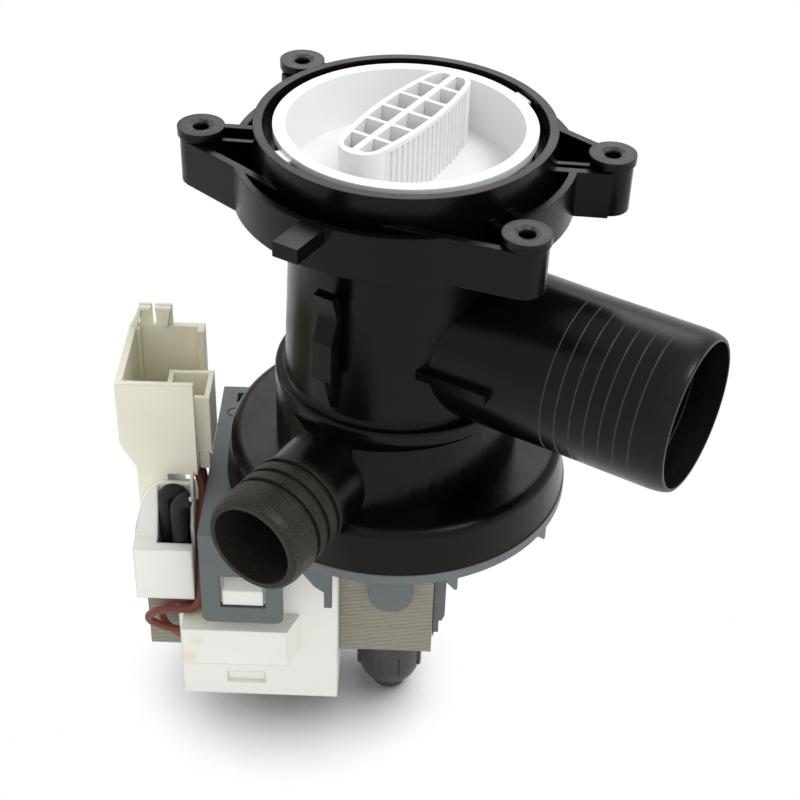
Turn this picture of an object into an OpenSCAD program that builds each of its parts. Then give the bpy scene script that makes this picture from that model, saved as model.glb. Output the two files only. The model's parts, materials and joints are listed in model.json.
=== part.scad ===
// Washer drain pump with a pull-out filter and a synchronous motor.
// Millimetres, +Z up. The origin is the centre of the bolt pattern on the bolt plane.

/* [Bolt flange] */
// Bolt spacing along the inlet
bolt_x = 88; // [84:1:96]
// Bolt spacing along the outlet
bolt_y = 43; // [40:1:48]
// Bolt hole diameter
bolt_hole_d = 4; // [3:0.5:5]
// Countersink diameter
bolt_sink_d = 6.4; // [5.6:0.2:8]
// Boss diameter at the bolt plane
boss_d = 11.4; // [10:0.2:13]
// Bolt plane down to the tops of the lug walls
lug_drop = 2.5; // [1.5:0.5:4]
// Bolt plane down to the bottom of the flange
flange_depth = 14.2; // [13:0.2:18]
// Lug wall thickness
lug_wall = 2; // [1.5:0.1:2.5]
// Gap between the rim and the skirt
skirt_gap = 3.4; // [2.5:0.1:4]
// Skirt wall thickness
skirt_wall = 1.9; // [1.4:0.1:2.5]
// Flange floor thickness
floor_t = 2; // [1.5:0.1:3]

/* [Rim and neck] */
// Rim outer diameter
rim_d = 72; // [71:0.5:75]
// Rim wall thickness
rim_wall = 2.2; // [1.5:0.1:2.8]
// Rim height above the bolt plane
rim_rise = 4.5; // [3:0.5:8]
// Bolt plane down to the ledge inside the rim
ledge_depth = 2; // [1:0.5:3]
// Neck bore diameter for the filter
neck_d = 61.4; // [60:0.2:62.4]

/* [Filter chamber] */
// Barrel outer diameter under the flange
barrel_d = 55.2; // [53:0.2:57]
// Growth of the barrel radius down to its foot
barrel_draft = 1.8; // [0.6:0.1:2.4]
// Barrel wall thickness under the flange
barrel_wall = 2.2; // [1.6:0.1:3]
// Barrel floor thickness
barrel_floor = 2.5; // [2:0.1:4]
// Diameter of the eye through the barrel floor
eye_d = 24; // [18:1:30]

/* [Inlet pipe] */
// Pipe outer diameter
inlet_d = 40.2; // [36:0.2:42]
// Pipe wall thickness
inlet_wall = 1.8; // [1.4:0.1:2.4]
// Bolt plane down to the pipe axis
inlet_depth = 48.1; // [44:0.1:54]
// Main axis to the mouth of the pipe
inlet_reach = 81.5; // [79:0.5:95]
// Length of the tapered nose
inlet_nose = 5.5; // [3:0.5:7]
// Mouth wall thickness
mouth_wall = 0.6; // [0.4:0.1:1.2]
// Pitch of the engraved depth rings
ring_pitch = 3.8; // [2.5:0.1:4]

/* [Volute] */
// Step from the barrel foot out to the drum
drum_step = 2.6; // [2:0.1:4]
// Drum wall thickness
drum_wall = 2.2; // [1.6:0.1:2.8]
// Outlet axis above the top of the disc
disc_drop = 5; // [3:0.5:7]
// Disc height
disc_h = 12.8; // [11:0.2:16]
// Disc diameter at its foot
disc_d = 91; // [89:0.5:97]
// Disc wall thickness
disc_wall = 2.5; // [1.8:0.1:3]
// Growth of the snail from its start to the outlet
snail_growth = 6.3; // [4:0.1:7]

/* [Outlet spigot] */
// Plain body diameter
outlet_d = 25; // [23.6:0.2:26]
// Height of the ridges on the body
ridge_h = 0.7; // [0.4:0.1:1.2]
// Wall thickness
outlet_wall = 1.8; // [1.4:0.1:2.4]
// Main axis to the mouth of the spigot
outlet_reach = 65.5; // [64:0.5:75]
// Spigot axis off the main axis
outlet_shift = 0.8; // [0:0.1:3]

/* [Filter] */
// Cap rim beyond the neck bore
cap_lip = 0.7; // [0.4:0.1:1.2]
// Cap rim below the housing rim
cap_drop = 0.2; // [0:0.1:1]
// Width of the flat rim of the cap
cap_flat = 3.1; // [2.4:0.1:4]
// Bowl depth
bowl_depth = 13; // [10:0.5:13.5]
// Length of the grip
grip_l = 48.8; // [40:0.2:51]
// Width of the grip
grip_w = 15.4; // [13:0.2:18]
// Grip height above the cap rim
grip_rise = 3; // [0:0.5:6]
// Gap between the basket and the barrel bore
basket_gap = 1.9; // [1:0.1:4]
// Basket length below the cap
basket_l = 48; // [40:1:50]

/* [Motor flange] */
// Turn of the motor about the main axis
motor_turn = 30; // [0:5:60]
// Flange ring beyond the disc
ring_lip = 0.3; // [0:0.1:1.5]
// Flange ring thickness
ring_t = 2.8; // [2.2:0.2:4]
// Main axis to the free edge of the shelf
shelf_reach = 50; // [49.5:0.1:50.2]
// Clip wall width
clip_w = 21.6; // [19:0.2:23]
// Clip wall height
clip_h = 28; // [26:0.5:28.5]
// Latch window width
window_w = 12; // [9:0.5:14]
// Rotor can outer diameter
can_d = 20; // [19:0.2:21]
// Rotor can wall thickness
can_wall = 1; // [0.7:0.1:1.1]

/* [Motor] */
// Bottom of the flange ring down to the top of the core
core_gap = 21.4; // [20.5:0.1:22]
// Stack height of the core
stack_h = 30.4; // [28:0.4:34]
// Core width across both legs
core_w = 36; // [35:0.2:36.4]
// Leg width
leg_w = 9; // [8:0.2:9.4]
// Main axis to the yoke end
yoke_reach = 67.3; // [67:0.1:69]
// Yoke width
yoke_w = 9.3; // [8:0.1:9.4]
// Main axis to the pole ends
pole_reach = 11.8; // [11.2:0.2:12.6]
// Shaft diameter
shaft_d = 3; // [2.4:0.2:3.6]
// Magnet diameter
magnet_d = 16.4; // [14:0.2:16.8]
// Impeller diameter
impeller_d = 42; // [34:1:54]
// Impeller blade height
blade_h = 18; // [14:0.5:20]
// Number of impeller blades
blade_count = 6; // [4:1:8]
// Bottom of the core down to the end of the tail cap
tail_h = 30; // [28:0.5:38]
// Tail cap diameter
tail_d = 20.2; // [19:0.2:23]

/* [Bobbin cover] */
// Winding thickness beside a leg
coil_t = 5.2; // [4:0.2:5.6]
// Winding thickness above and below a leg
coil_h = 6.6; // [5:0.2:7.4]
// Main axis to the edge of the cover by the poles
cover_near = 14.2; // [13.4:0.2:18]
// Cover wall thickness
cover_wall = 1.6; // [1.2:0.1:2]
// How far the block stands out of the cover
block_out = 7; // [4:0.5:8]

/* [Connector] */
// Socket width
socket_w = 20; // [18:0.2:21]
// Socket length
socket_l = 28.5; // [26:0.5:32]
// Socket height
socket_h = 29; // [27:0.5:32]
// Socket wall thickness
socket_wall = 1.8; // [1.2:0.1:2]
// Lead holder width
holder_w = 15.6; // [14.4:0.2:15.6]
// Black lead diameter
black_d = 4; // [3.4:0.1:4]
// Brown lead diameter
brown_d = 2.2; // [1.8:0.1:2.2]

/* [Hidden] */
$fn = 96;
// Running clearance, assembly gap and overrun of a cut
slip = 0.05;
fit_gap = 0.2;
cut = 1;
// Whole and quarter turn
turn = 360;
quarter = turn / 4;
black = [0.06, 0.06, 0.06];
grey = [0.43, 0.47, 0.48];
dark_grey = [0.3, 0.32, 0.33];
ivory = [0.92, 0.91, 0.84];
white = [0.93, 0.93, 0.91];
brown = [0.45, 0.22, 0.18];
steel = [0.7, 0.7, 0.72];
iron = [0.53, 0.51, 0.46];
copper = [0.72, 0.4, 0.2];
brass = [0.8, 0.65, 0.3];
carbon = [0.2, 0.2, 0.2];

// Radii
rim_r = rim_d / 2;
skirt_r = rim_r + skirt_gap + skirt_wall;
neck_r = neck_d / 2;
plug_gap = 0.5;
plug_r = neck_r - plug_gap;
barrel_r = barrel_d / 2;
foot_r = barrel_r + barrel_draft;
bore_r = barrel_r - barrel_wall;
inlet_r = inlet_d / 2;
inlet_bore_r = inlet_r - inlet_wall;
drum_r = foot_r + drum_step;
chamber_r = drum_r - drum_wall;
disc_r = disc_d / 2;
cavity_r = disc_r - disc_wall;
outlet_r = outlet_d / 2;
outlet_bore_r = outlet_r - outlet_wall;
ring_r = disc_r + ring_lip;
can_r = can_d / 2;
can_bore_r = can_r - can_wall;
shaft_r = shaft_d / 2;
leg_out = core_w / 2;
leg_in = leg_out - leg_w;

// Levels, from the bolt plane at z 0
sump = 0.1;
drum_lap = 2.4;
outlet_gap = 0.8;
ledge_z = -ledge_depth;
flange_z = -flange_depth;
floor_z = flange_z + floor_t;
lug_z = -lug_drop;
inlet_z = -inlet_depth;
barrel_z = inlet_z - inlet_bore_r - sump;
drum_z = barrel_z + drum_lap;
chamber_z = barrel_z - barrel_floor;
outlet_z = chamber_z - outlet_gap - outlet_bore_r;
disc_z = outlet_z - disc_drop;
seat_z = disc_z - disc_h;
ring_z = seat_z - ring_t;
core_top = ring_z - core_gap;
core_z = core_top - stack_h;
clip_z = ring_z - clip_h;
tail_z = core_z - tail_h;

// Points of a round stretch in the plane
function arc(cx, cy, r, a0, a1, n = 6) =
    [for (i = [0:n]) let (a = a0 + (a1 - a0) * i / n) [cx + r * cos(a), cy + r * sin(a)]];

module rod(r, z0, z1) translate([0, 0, z0]) cylinder(r = r, h = z1 - z0);

module tube(ro, ri, z0, z1) difference() {
    rod(ro, z0, z1);
    rod(ri, z0 - cut, z1 + cut);
}

module slab(x0, x1, y0, y1, z0, z1) translate([x0, y0, z0]) cube([x1 - x0, y1 - y0, z1 - z0]);

// Wall of a given thickness between two points
module strip(p, q, t, z0, z1) {
    d = q - p;
    translate([p[0], p[1], z0]) rotate([0, 0, atan2(d[1], d[0])])
        translate([0, -t / 2, 0]) cube([norm(d), t, z1 - z0]);
}

// Side profile in x and z, drawn from y0 to y1
module profile_y(pts, y0, y1) translate([0, y1, 0]) rotate([90, 0, 0])
    linear_extrude(height = y1 - y0) polygon(pts);

// Side profile in y and z, drawn from x0 to x1
module profile_x(pts, x0, x1) translate([x0, 0, 0]) rotate([90, 0, 90])
    linear_extrude(height = x1 - x0) polygon(pts);

module sector(ro, ri, a0, a1, z0, z1) rotate([0, 0, a0]) translate([0, 0,
    z0]) rotate_extrude(angle = a1 - a0)
    translate([ri, 0]) square([ro - ri, z1 - z0]);

module motor() rotate([0, 0, motor_turn]) children();

module four() for (sx = [0, 1], sy = [0, 1]) mirror([sx, 0, 0]) mirror([0, sy, 0]) children();

// Joint overlap of walls that belong to one moulding
weld = 0.1;

// Pump housing: one moulding, given as six simple nodes that meet at its corners
bead_round = 1;
bead_fillet = drum_step - bead_round;
bead_z = drum_z - bead_round;
disc_edge = 2.8;
disc_draft = 1.1;
disc_top = 3;

// Sides of the barrel with its bead, and of the disc, grown by g
function barrel_side(g) = concat([[barrel_r + g, flange_z]],
    arc(foot_r + bead_fillet, drum_z + bead_fillet, bead_fillet - g, 180, 270),
    arc(drum_r - bead_round, bead_z, bead_round + g, 90, 0));
function disc_side(g) = concat(
    arc(disc_r - disc_draft - disc_edge, disc_z - disc_edge, disc_edge + g, 90, 0),
    [[disc_r + g, seat_z]]);

module barrel_outer() rotate_extrude() polygon(concat([[0, flange_z]], barrel_side(0), [[0, bead_z]]));

module disc_outer() rotate_extrude() polygon(concat([[0, disc_z]], disc_side(0), [[0, seat_z]]));

// The turned part under the flange, which the two pipes are cut to
module turned_part(g) rotate_extrude() polygon(concat([[0, flange_z]], barrel_side(g),
    [[drum_r + g, disc_z + g]], disc_side(g), [[0, seat_z]]));

// Snail that grows towards the outlet, as a slope from the drum to the disc
snail_start = 20;
snail_end = -76;
snail_stop = -105;
snail_steps = 48;
snail_shelf = 2.6;
snail_dip = 4.4;
snail_skin = 0.2;

function snail(grow, g) = [for (i = [0:snail_steps - 1]) let (
    a = snail_start - turn * i / snail_steps,
    t = min(1, (snail_start - a) / (snail_start - snail_end)),
    r = drum_r - weld + g + (a < snail_stop ? 0 : grow * pow(t, 3))) r * [cos(a), sin(a)]];

module snail_outer(g = 0) hull() {
    translate([0, 0, drum_z - snail_dip + g])
        linear_extrude(height = snail_skin) polygon(snail(snail_shelf, g));
    translate([0, 0, disc_z]) linear_extrude(height = snail_skin) polygon(snail(snail_growth, g));
}

// Flange lugs
boss_cap = 2;
boss_step = 0.5;
boss_lap = 0.4;
outer_out = 0.9;
outer_side = 4.1;
outer_turn = 68;
inner_in = 0.6;
rib_t = 1.5;
rib_drop = 1;
sink_depth = 0.4;

bolt = [bolt_x / 2, bolt_y / 2];
bolt_dir = bolt / norm(bolt);
mid_r = rim_r - rim_wall / 2;
inner_side = boss_d / 2 - inner_in;
outer_p = bolt + [outer_out, outer_side];
outer_q = mid_r * [cos(outer_turn), sin(outer_turn)];
inner_p = bolt + [bolt_dir[1], -bolt_dir[0]] * inner_side;
inner_q = inner_p - bolt_dir * (norm(bolt) - sqrt(mid_r * mid_r - inner_side * inner_side));

// Plan of a lug between the middles of its two walls
module lug_plan(z0, z1) translate([0, 0, z0]) linear_extrude(height = z1 - z0)
    polygon([outer_p, outer_q, inner_q, inner_p, bolt]);

module skirt() difference() {
    tube(skirt_r, skirt_r - skirt_wall, flange_z, lug_z);
    four() lug_plan(floor_z - weld, lug_z + cut);
}

module lug() {
    strip(outer_p, outer_q, lug_wall, flange_z, lug_z);
    strip(inner_p, inner_q, lug_wall, flange_z, lug_z);
    strip(bolt, mid_r * bolt_dir, rib_t, flange_z, lug_z - rib_drop);
    lug_plan(flange_z, floor_z);
    translate([bolt[0], bolt[1], 0]) {
        rod(boss_d / 2, -boss_cap, 0);
        translate([0, 0, flange_z]) cylinder(r1 = (boss_d - lug_wall) / 2 + boss_lap,
            r2 = boss_d / 2 - boss_step, h = flange_depth - boss_cap + weld);
    }
}

module lug_hole() translate([bolt[0], bolt[1], 0]) {
    rod(bolt_hole_d / 2, flange_z - cut, cut);
    translate([0, 0, -sink_depth]) cylinder(d1 = bolt_hole_d, d2 = bolt_sink_d, h = sink_depth);
    rod(bolt_sink_d / 2, 0, cut);
}

// Side pipes, turned about their own axes
pipe_root = 20;
ring_tail = 8.3;
ring_count = 7;
ring_cut = 0.12;
ring_half = 0.15;
root_draft = 0.4;
nose_steps = 6;
spigot_root = 26;
groove_count = 3;
groove_tail = 18.2;
groove_pitch = 4.3;
groove_half = 0.75;
groove_cut = 1;
plain_tail = 20.5;
nose_tail = 2.6;
lip_cut = [0.5, 1.2];
lip_t = 0.6;

module along_x() translate([0, 0, inlet_z]) rotate([0, 90, 0]) children();
module along_y() translate([-outlet_shift, 0, outlet_z]) rotate([90, 0, 0]) children();

module inlet_outer() {
    last = inlet_reach - ring_tail;
    mouth = inlet_bore_r + mouth_wall;
    rings = [for (i = [1 - ring_count:0]) let (x = last + i * ring_pitch)
        each [[inlet_r, x - ring_half], [inlet_r - ring_cut, x], [inlet_r, x + ring_half]]];
    nose = [for (i = [0:nose_steps]) let (a = quarter * i / nose_steps)
        [mouth + (inlet_r - mouth) * cos(a), inlet_reach - inlet_nose * (1 - sin(a))]];
    along_x() rotate_extrude() polygon(concat([[0, pipe_root], [inlet_r + root_draft, pipe_root]], rings,
        nose, [[0, inlet_reach]]));
}

module outlet_outer() {
    r = outlet_r + ridge_h;
    grooves = [for (i = [0:groove_count - 1]) let (y = outlet_reach - groove_tail + i * groove_pitch)
        each [[r, y - groove_half], [r - groove_cut, y - groove_half], [r - groove_cut, y + groove_half],
              [r, y + groove_half]]];
    plain = outlet_reach - plain_tail;
    along_y() rotate_extrude() polygon(concat(
        [[0, spigot_root], [outlet_r, spigot_root], [outlet_r, plain], [r, plain + ridge_h]], grooves,
        [[r, outlet_reach - nose_tail], [r - lip_cut[0], outlet_reach - lip_t],
         [r - lip_cut[1], outlet_reach], [0, outlet_reach]]));
}

// Cable hook, front tab, skirt ribs, pipe fin and spigot block
// The leaf and its web are given out from the barrel foot and down from the bolt plane
hook_mid = -0.95;
hook_w = 5.3;
hook_web = 2.2;
hook_leaf = [[4.7, 26.6], [2.6, 33.3], [5.2, 39.5], [5.4, 50],
    [2.2, 51.5], [2.2, 40.2], [0.2, 33.6], [2.5, 26]];
hook_fin = [[1.6, 36], [3, 40.5], [3.4, 49.8], [-0.3, 62.6]];
tab_out = 10.7;
tab_t = 3.7;
tab_ends = [-2.2, 4.4];
nub_turns = [-102, -88, -74];
nub_rib_r = 0.7;
fin_out = 2.5;
fin_t = 2.5;
fin_ends = [17, 37];
fin_sink = 1.5;
lump_w = 3.7;
lump_ends = [31.4, 35.9];
lump_rise = 1;

module hook() {
    leaf = [for (p = hook_leaf) [-foot_r - p[0], -p[1]]];
    fin = [for (p = hook_fin) [-foot_r - p[0], -p[1]]];
    profile_x(leaf, hook_mid - hook_w / 2, hook_mid + hook_w / 2);
    profile_x(concat(fin, [[-bore_r - weld, fin[3][1]], [-bore_r - weld, fin[0][1]]]),
        hook_mid - hook_web / 2, hook_mid + hook_web / 2);
}

module inlet_bore() along_x() rod(inlet_bore_r, pipe_root, inlet_reach + cut);

module outlet_bore() along_y() rod(outlet_bore_r, spigot_root - cut, outlet_reach + cut);

module bolt_flange() color(black) difference() {
    union() {
        rod(rim_r, flange_z, rim_rise);
        rod(skirt_r, flange_z, floor_z);
        skirt();
        four() lug();
        slab(tab_ends[0], tab_ends[1], -skirt_r - tab_out, -skirt_r + skirt_wall / 2, lug_z - tab_t, lug_z);
        for (a = nub_turns) rotate([0, 0, a]) translate([skirt_r - skirt_wall, 0, 0]) rod(nub_rib_r,
            floor_z - weld, lug_z);
    }
    rod(rim_r - rim_wall, ledge_z, rim_rise + cut);
    rod(neck_r, floor_z, ledge_z + cut);
    rod(bore_r, flange_z - cut, floor_z + cut);
    four() lug_hole();
}

module filter_barrel() color(black) difference() {
    union() {
        barrel_outer();
        hook();
    }
    rod(bore_r, bead_z - cut, flange_z + cut);
    inlet_bore();
}

module volute_drum() color(black) difference() {
    union() {
        rod(drum_r, disc_z, bead_z);
        snail_outer();
    }
    rod(bore_r, barrel_z, bead_z + cut);
    rod(eye_d / 2, chamber_z - cut, barrel_z + cut);
    rod(chamber_r, disc_z - cut, chamber_z);
    inlet_bore();
    outlet_bore();
}

module volute_disc() color(black) difference() {
    disc_outer();
    rod(chamber_r, seat_z - cut, disc_z + cut);
    rod(cavity_r, seat_z - cut, disc_z - disc_top);
    outlet_bore();
}

module inlet_pipe() color(black) difference() {
    union() {
        inlet_outer();
        slab(fin_ends[0], fin_ends[1], -inlet_r - fin_out, -inlet_r + fin_sink, inlet_z - fin_t / 2,
            inlet_z + fin_t / 2);
    }
    turned_part(slip);
    snail_outer(slip);
    inlet_bore();
}

module outlet_pipe() color(black) difference() {
    union() {
        outlet_outer();
        slab(-outlet_shift - lump_w / 2, -outlet_shift + lump_w / 2, -lump_ends[1], -lump_ends[0],
            outlet_z + outlet_bore_r, outlet_z + outlet_r + lump_rise);
    }
    turned_part(slip);
    snail_outer(slip);
    outlet_bore();
}

// Filter cap, gasket and basket
seat_gap = 0.3;
cap_r = neck_r + cap_lip;
cap_top = rim_rise - cap_drop;
cap_t = 2;
bowl_r = cap_r - cap_flat;
bowl_z = cap_top - bowl_depth;
bowl_draft = 1.5;
plug_z = floor_z + seat_gap;
gasket_drop = 2.6;
gasket_h = 3;
gasket_depth = 2.2;
gasket_top = ledge_z - gasket_drop;
gasket_z = gasket_top - gasket_h;
gasket_in = plug_r - gasket_depth;
grip_top = cap_top + grip_rise;
grip_end = 5.9;
grip_wall = 1.3;
grip_mid = 1.6;
grip_rib = 1.1;
grip_ribs = 6;
grip_pitch = 7.6;
grip_floor = 1;
side_r = 100;
tooth_r = 0.65;
tooth_pitch = 2;
tooth_count = 18;
tooth_stop = 1.2;
key_w = 2;
key_h = 1.2;
lock_turns = [-119, 61];
lock_half = 5;
lock_out = 1.9;
lock_levels = [0.2, 1.1];
snap_h = 3;
basket_r = bore_r - basket_gap;
basket_wall = 1.6;
basket_z = plug_z - basket_l;
slot_w = 5;
slot_count = 5;
slot_ends = [4, 2];
drain_r = 7;

module grip_lens(inset) {
    e = grip_l / 2 - grip_end;
    intersection() {
        translate([side_r - grip_w / 2, 0]) circle(r = side_r - inset, $fn = 256);
        translate([grip_w / 2 - side_r, 0]) circle(r = side_r - inset, $fn = 256);
        square([2 * grip_w, 2 * e], center = true);
    }
    for (s = [-1, 1]) translate([0, s * e]) circle(r = grip_end - inset);
}

module grip_teeth() for (s = [-1, 1], i = [0:tooth_count - 1])
    let (y = (i - (tooth_count - 1) / 2) * tooth_pitch)
        translate([s * (grip_w / 2 - side_r + sqrt(side_r * side_r - y * y)), y])
            circle(r = tooth_r, $fn = 16);

module grip_pockets() intersection() {
    grip_lens(grip_wall);
    for (s = [-1, 1], i = [0:grip_ribs - 1])
        translate([s * (grip_w + grip_mid) / 4, (i + 0.5 - grip_ribs / 2) * grip_pitch])
            square([(grip_w - grip_mid) / 2, grip_pitch - grip_rib], center = true);
}

module filter_cap() color(white) {
    difference() {
        union() {
            rod(cap_r, cap_top - cap_t, cap_top);
            rod(plug_r, plug_z, cap_top - cap_t);
            rod(basket_r - basket_wall - slip, plug_z - snap_h, plug_z);
        }
        translate([0, 0, bowl_z]) cylinder(r1 = bowl_r - bowl_draft, r2 = bowl_r, h = bowl_depth);
        rod(bowl_r, cap_top, cap_top + cut);
        tube(plug_r + cut, gasket_in, gasket_z, gasket_top);
        rod(basket_r - 2 * basket_wall, plug_z - snap_h - cut, plug_z);
    }
    lock_z = cap_top - cap_t;
    for (a = lock_turns) sector(cap_r + lock_out, bowl_r + cut, a - lock_half, a + lock_half,
        lock_z + lock_levels[0], lock_z + lock_levels[1]);
}

// Grip, standing on the floor of the bowl
module cap_grip() color(white) {
    h = grip_top - bowl_z;
    difference() {
        translate([0, 0, bowl_z]) linear_extrude(height = h) grip_lens(0);
        translate([0, 0, bowl_z - cut]) linear_extrude(height = h + cut - tooth_stop) grip_teeth();
        translate([0, 0, bowl_z + grip_floor]) linear_extrude(height = h) grip_pockets();
    }
    slab(-key_w / 2, key_w / 2, -grip_l / 2 - key_h, -grip_l / 2 + key_h, bowl_z, bowl_z + key_h);
}

module cap_gasket() color(black) tube(neck_r - slip, gasket_in + slip, gasket_z + slip, gasket_top - slip);

module filter_basket() color(white) difference() {
    rod(basket_r, basket_z, plug_z);
    rod(basket_r - basket_wall, basket_z + basket_wall, plug_z + cut);
    for (i = [0:slot_count - 1]) rotate([0, 0, (i + 0.5) * 180 / slot_count])
        slab(-basket_r - cut, basket_r + cut, -slot_w / 2, slot_w / 2, basket_z + slot_ends[0],
            plug_z - snap_h - slot_ends[1]);
    rod(drain_r, basket_z - cut, basket_z + basket_wall + cut);
}

// Motor flange with the rotor can
lip_gap = 0.4;
lip_r = cavity_r - lip_gap;
lip_rise = 4.8;
lip_w = 4.6;
plate_rise = 2.4;
plate_top = seat_z + plate_rise;
seal_depth = 2;
seal_h = 2.2;
seal_rise = 3.6;
seal_top = seat_z + seal_rise;
mouth_r = can_r + 3;
collar_r = mouth_r + 1.6;
collar_h = 4;
throat_r = can_r - 0.6;
throat_h = 3;
throat_z = core_z - throat_h;
end_r = can_r - 2.2;
end_wall = 1.4;
end_bore_r = end_r - end_wall;
end_depth = 9.2;
end_z = core_z - end_depth;
end_floor = 2;

module flange_turned() {
    rod(ring_r, ring_z, seat_z);
    difference() {
        rod(lip_r, seat_z - weld, seat_z + lip_rise);
        rod(lip_r - lip_w, plate_top, seat_z + lip_rise + cut);
        tube(lip_r + cut, lip_r - seal_depth, seal_top - seal_h, seal_top);
    }
    rod(collar_r, ring_z - collar_h, ring_z + weld);
    rod(can_r, core_z, ring_z);
    rod(throat_r, throat_z, core_z + weld);
    rod(end_r, end_z - end_floor, core_z);
}

wall_t = 2;
clip_gap = 5;
coil_gap = 1.2;
cover_half = leg_out + coil_t + coil_gap + cover_wall;
clip_front = cover_half + clip_gap + wall_t;
shelf_back = cover_half + clip_gap;
shelf_near = 20;
clip_near = shelf_reach - clip_w;
window_in = 5;
window_far = shelf_reach - window_in;
window_up = 5.5;
window_h = 11;
window_z = clip_z + window_up;
tongue_r = 6;
tongue_t = 2.5;
tongue_h = 28.4;
guide_gap = 0.2;
guide_t = 1.7;
guide_half = 15;
guide_up = 4.9;
guide_tip = 2.3;
guide_tip_w = 0.6;
guide_rib = 1.6;
guide_rib_w = 1.8;
guide_rib_in = 0.2;
guide_rib_up = 9.2;
guide_rib_slope = 2.2;
clip_round = 2;
hook_turns = [-70, -30, 30, 70];
catch_w = 3;
catch_h = 4;
catch_t = 2;
catch_tip = 0.7;
catch_root = 0.8;
hole_side = 4.2;
hole_at = [-43.6, 26];
mark_at = [-46, 19];
mark_r = 1.9;
mark_line = 0.3;

module clip_wall(v0) difference() {
    r = clip_round;
    profile_y(concat([[-shelf_reach, ring_z + weld]], arc(-shelf_reach + r, clip_z + r, r, 180, 270),
        arc(-clip_near - r, clip_z + r, r, 270, 360), [[-clip_near, ring_z + weld]]), v0, v0 + wall_t);
    slab(-window_far, -window_far + window_w, v0 - cut, v0 + wall_t + cut, window_z, window_z + window_h);
}

// Gusset between the ring and the cover, from the ring down to its leg
gusset = [[-28, 0], [-26, -5], [-20, -14], [-17.5, -16], [-17.5, -21.5], [-15.4, -21.5], [-15.4, 0]];

module flange_frame() {
    slab(-shelf_reach, -shelf_near, -clip_front, shelf_back, ring_z, seat_z);
    clip_wall(-clip_front);
    clip_wall(shelf_back - wall_t);
    translate([0, 0, ring_z + weld]) profile_y(gusset, -clip_front, -clip_front + wall_t);
    translate([0, -leg_out, ring_z - tongue_h]) rotate([90, 0, 0]) cylinder(r = tongue_r, h = tongue_t);
    slab(-tongue_r, tongue_r, -leg_out - tongue_t, -leg_out, ring_z - tongue_h, ring_z + weld);
    guide = pole_reach + guide_gap;
    low = core_z + guide_up;
    profile_y([[guide, ring_z + weld], [guide + guide_t, ring_z + weld], [guide + guide_t, low],
        [guide + guide_tip_w, low], [guide, low - guide_tip]], -guide_half, guide_half);
    rib = guide + guide_t + guide_rib;
    rib_low = core_z + guide_rib_up;
    for (s = [0, 1]) mirror([0, s, 0])
        profile_y([[guide + weld, ring_z + weld], [rib, ring_z + weld], [rib, rib_low + guide_rib_slope],
            [rib - guide_rib / 2, rib_low], [guide + weld, rib_low]],
            -guide_half + guide_rib_in, -guide_half + guide_rib_in + guide_rib_w);
    for (a = hook_turns) rotate([0, 0, a])
        profile_x([[-catch_w / 2, ring_z + weld], [-catch_w / 2, ring_z - catch_root],
            [catch_w / 2 - catch_tip, ring_z - catch_h], [catch_w / 2, ring_z - catch_h],
            [catch_w / 2, ring_z + weld]], ring_r - weld - catch_t, ring_r - weld);
}

module motor_flange() color(grey) motor() difference() {
    union() {
        flange_turned();
        flange_frame();
    }
    translate(hole_at) slab(-hole_side / 2, hole_side / 2, -hole_side / 2, hole_side / 2, ring_z - cut,
        seat_z + cut);
    translate(mark_at) tube(mark_r, mark_r - mark_line, seat_z - mark_line, seat_z + cut);
    rod(can_bore_r, core_z, plate_top + cut);
    rod(mouth_r, ring_z, plate_top + cut);
    rod(end_bore_r, end_z, core_z + cut);
}

module chamber_seal() color(black)
    tube(cavity_r - slip, lip_r - seal_depth + slip, seal_top - seal_h + slip, seal_top - slip);

// Bearings and their holder
holder_h = 12;
holder_floor = 1.5;
bush_r = 4;
bush_h = 6;
bush_gap = 0.02;
shaft_gap = 0.6;
lip_seal_h = 2.4;
lip_seal_gap = 0.1;
ring_groove = [4, 6];
ring_depth = 1.5;
front_z = ring_z - holder_h + holder_floor;
cushion_t = 1;
rear_z = end_z + cushion_t;

module bearing_holder() color(dark_grey) difference() {
    union() {
        rod(mouth_r - slip, ring_z, plate_top);
        rod(can_bore_r - slip, ring_z - holder_h, ring_z + weld);
    }
    rod(bush_r, front_z, plate_top + cut);
    rod(shaft_r + shaft_gap, ring_z - holder_h - cut, ring_z);
    tube(can_r, can_bore_r - ring_depth, ring_z - ring_groove[1], ring_z - ring_groove[0]);
}

module holder_seal() color(black) tube(can_bore_r - bush_gap, can_bore_r - ring_depth + slip,
    ring_z - ring_groove[1] + slip, ring_z - ring_groove[0] - slip);

module bush(z) tube(bush_r - bush_gap, shaft_r + slip, z, z + bush_h);

module front_bearing() color(carbon) bush(front_z);

module rear_bearing() color(carbon) bush(rear_z);

module lip_seal() color(black)
    tube(bush_r - bush_gap, shaft_r + lip_seal_gap, plate_top - lip_seal_h, plate_top);

module rear_cushion() color(black) difference() {
    rod(end_bore_r - bush_gap, end_z, rear_z + bush_h);
    rod(bush_r, rear_z, rear_z + bush_h + cut);
}

// Rotor
shaft_drop = 5;
shaft_float = 0.4;
sleeve_r = 4.4;
sleeve_over = 0.4;
washer_r = 3.2;
washer_t = 0.8;

module rotor_shaft() color(steel) rod(shaft_r, rear_z + shaft_float, chamber_z - shaft_drop);

module rotor_sleeve() color(white) tube(sleeve_r, shaft_r, core_z - sleeve_over, core_top + sleeve_over);

module rotor_magnet() color(carbon) tube(magnet_d / 2, sleeve_r, core_z, core_top);

module thrust_washers() color(brass) {
    front = ring_z - holder_h - shaft_float - washer_t;
    rear = rear_z + bush_h + shaft_float;
    for (z = [front, rear]) tube(washer_r, shaft_r, z, z + washer_t);
}

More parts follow.
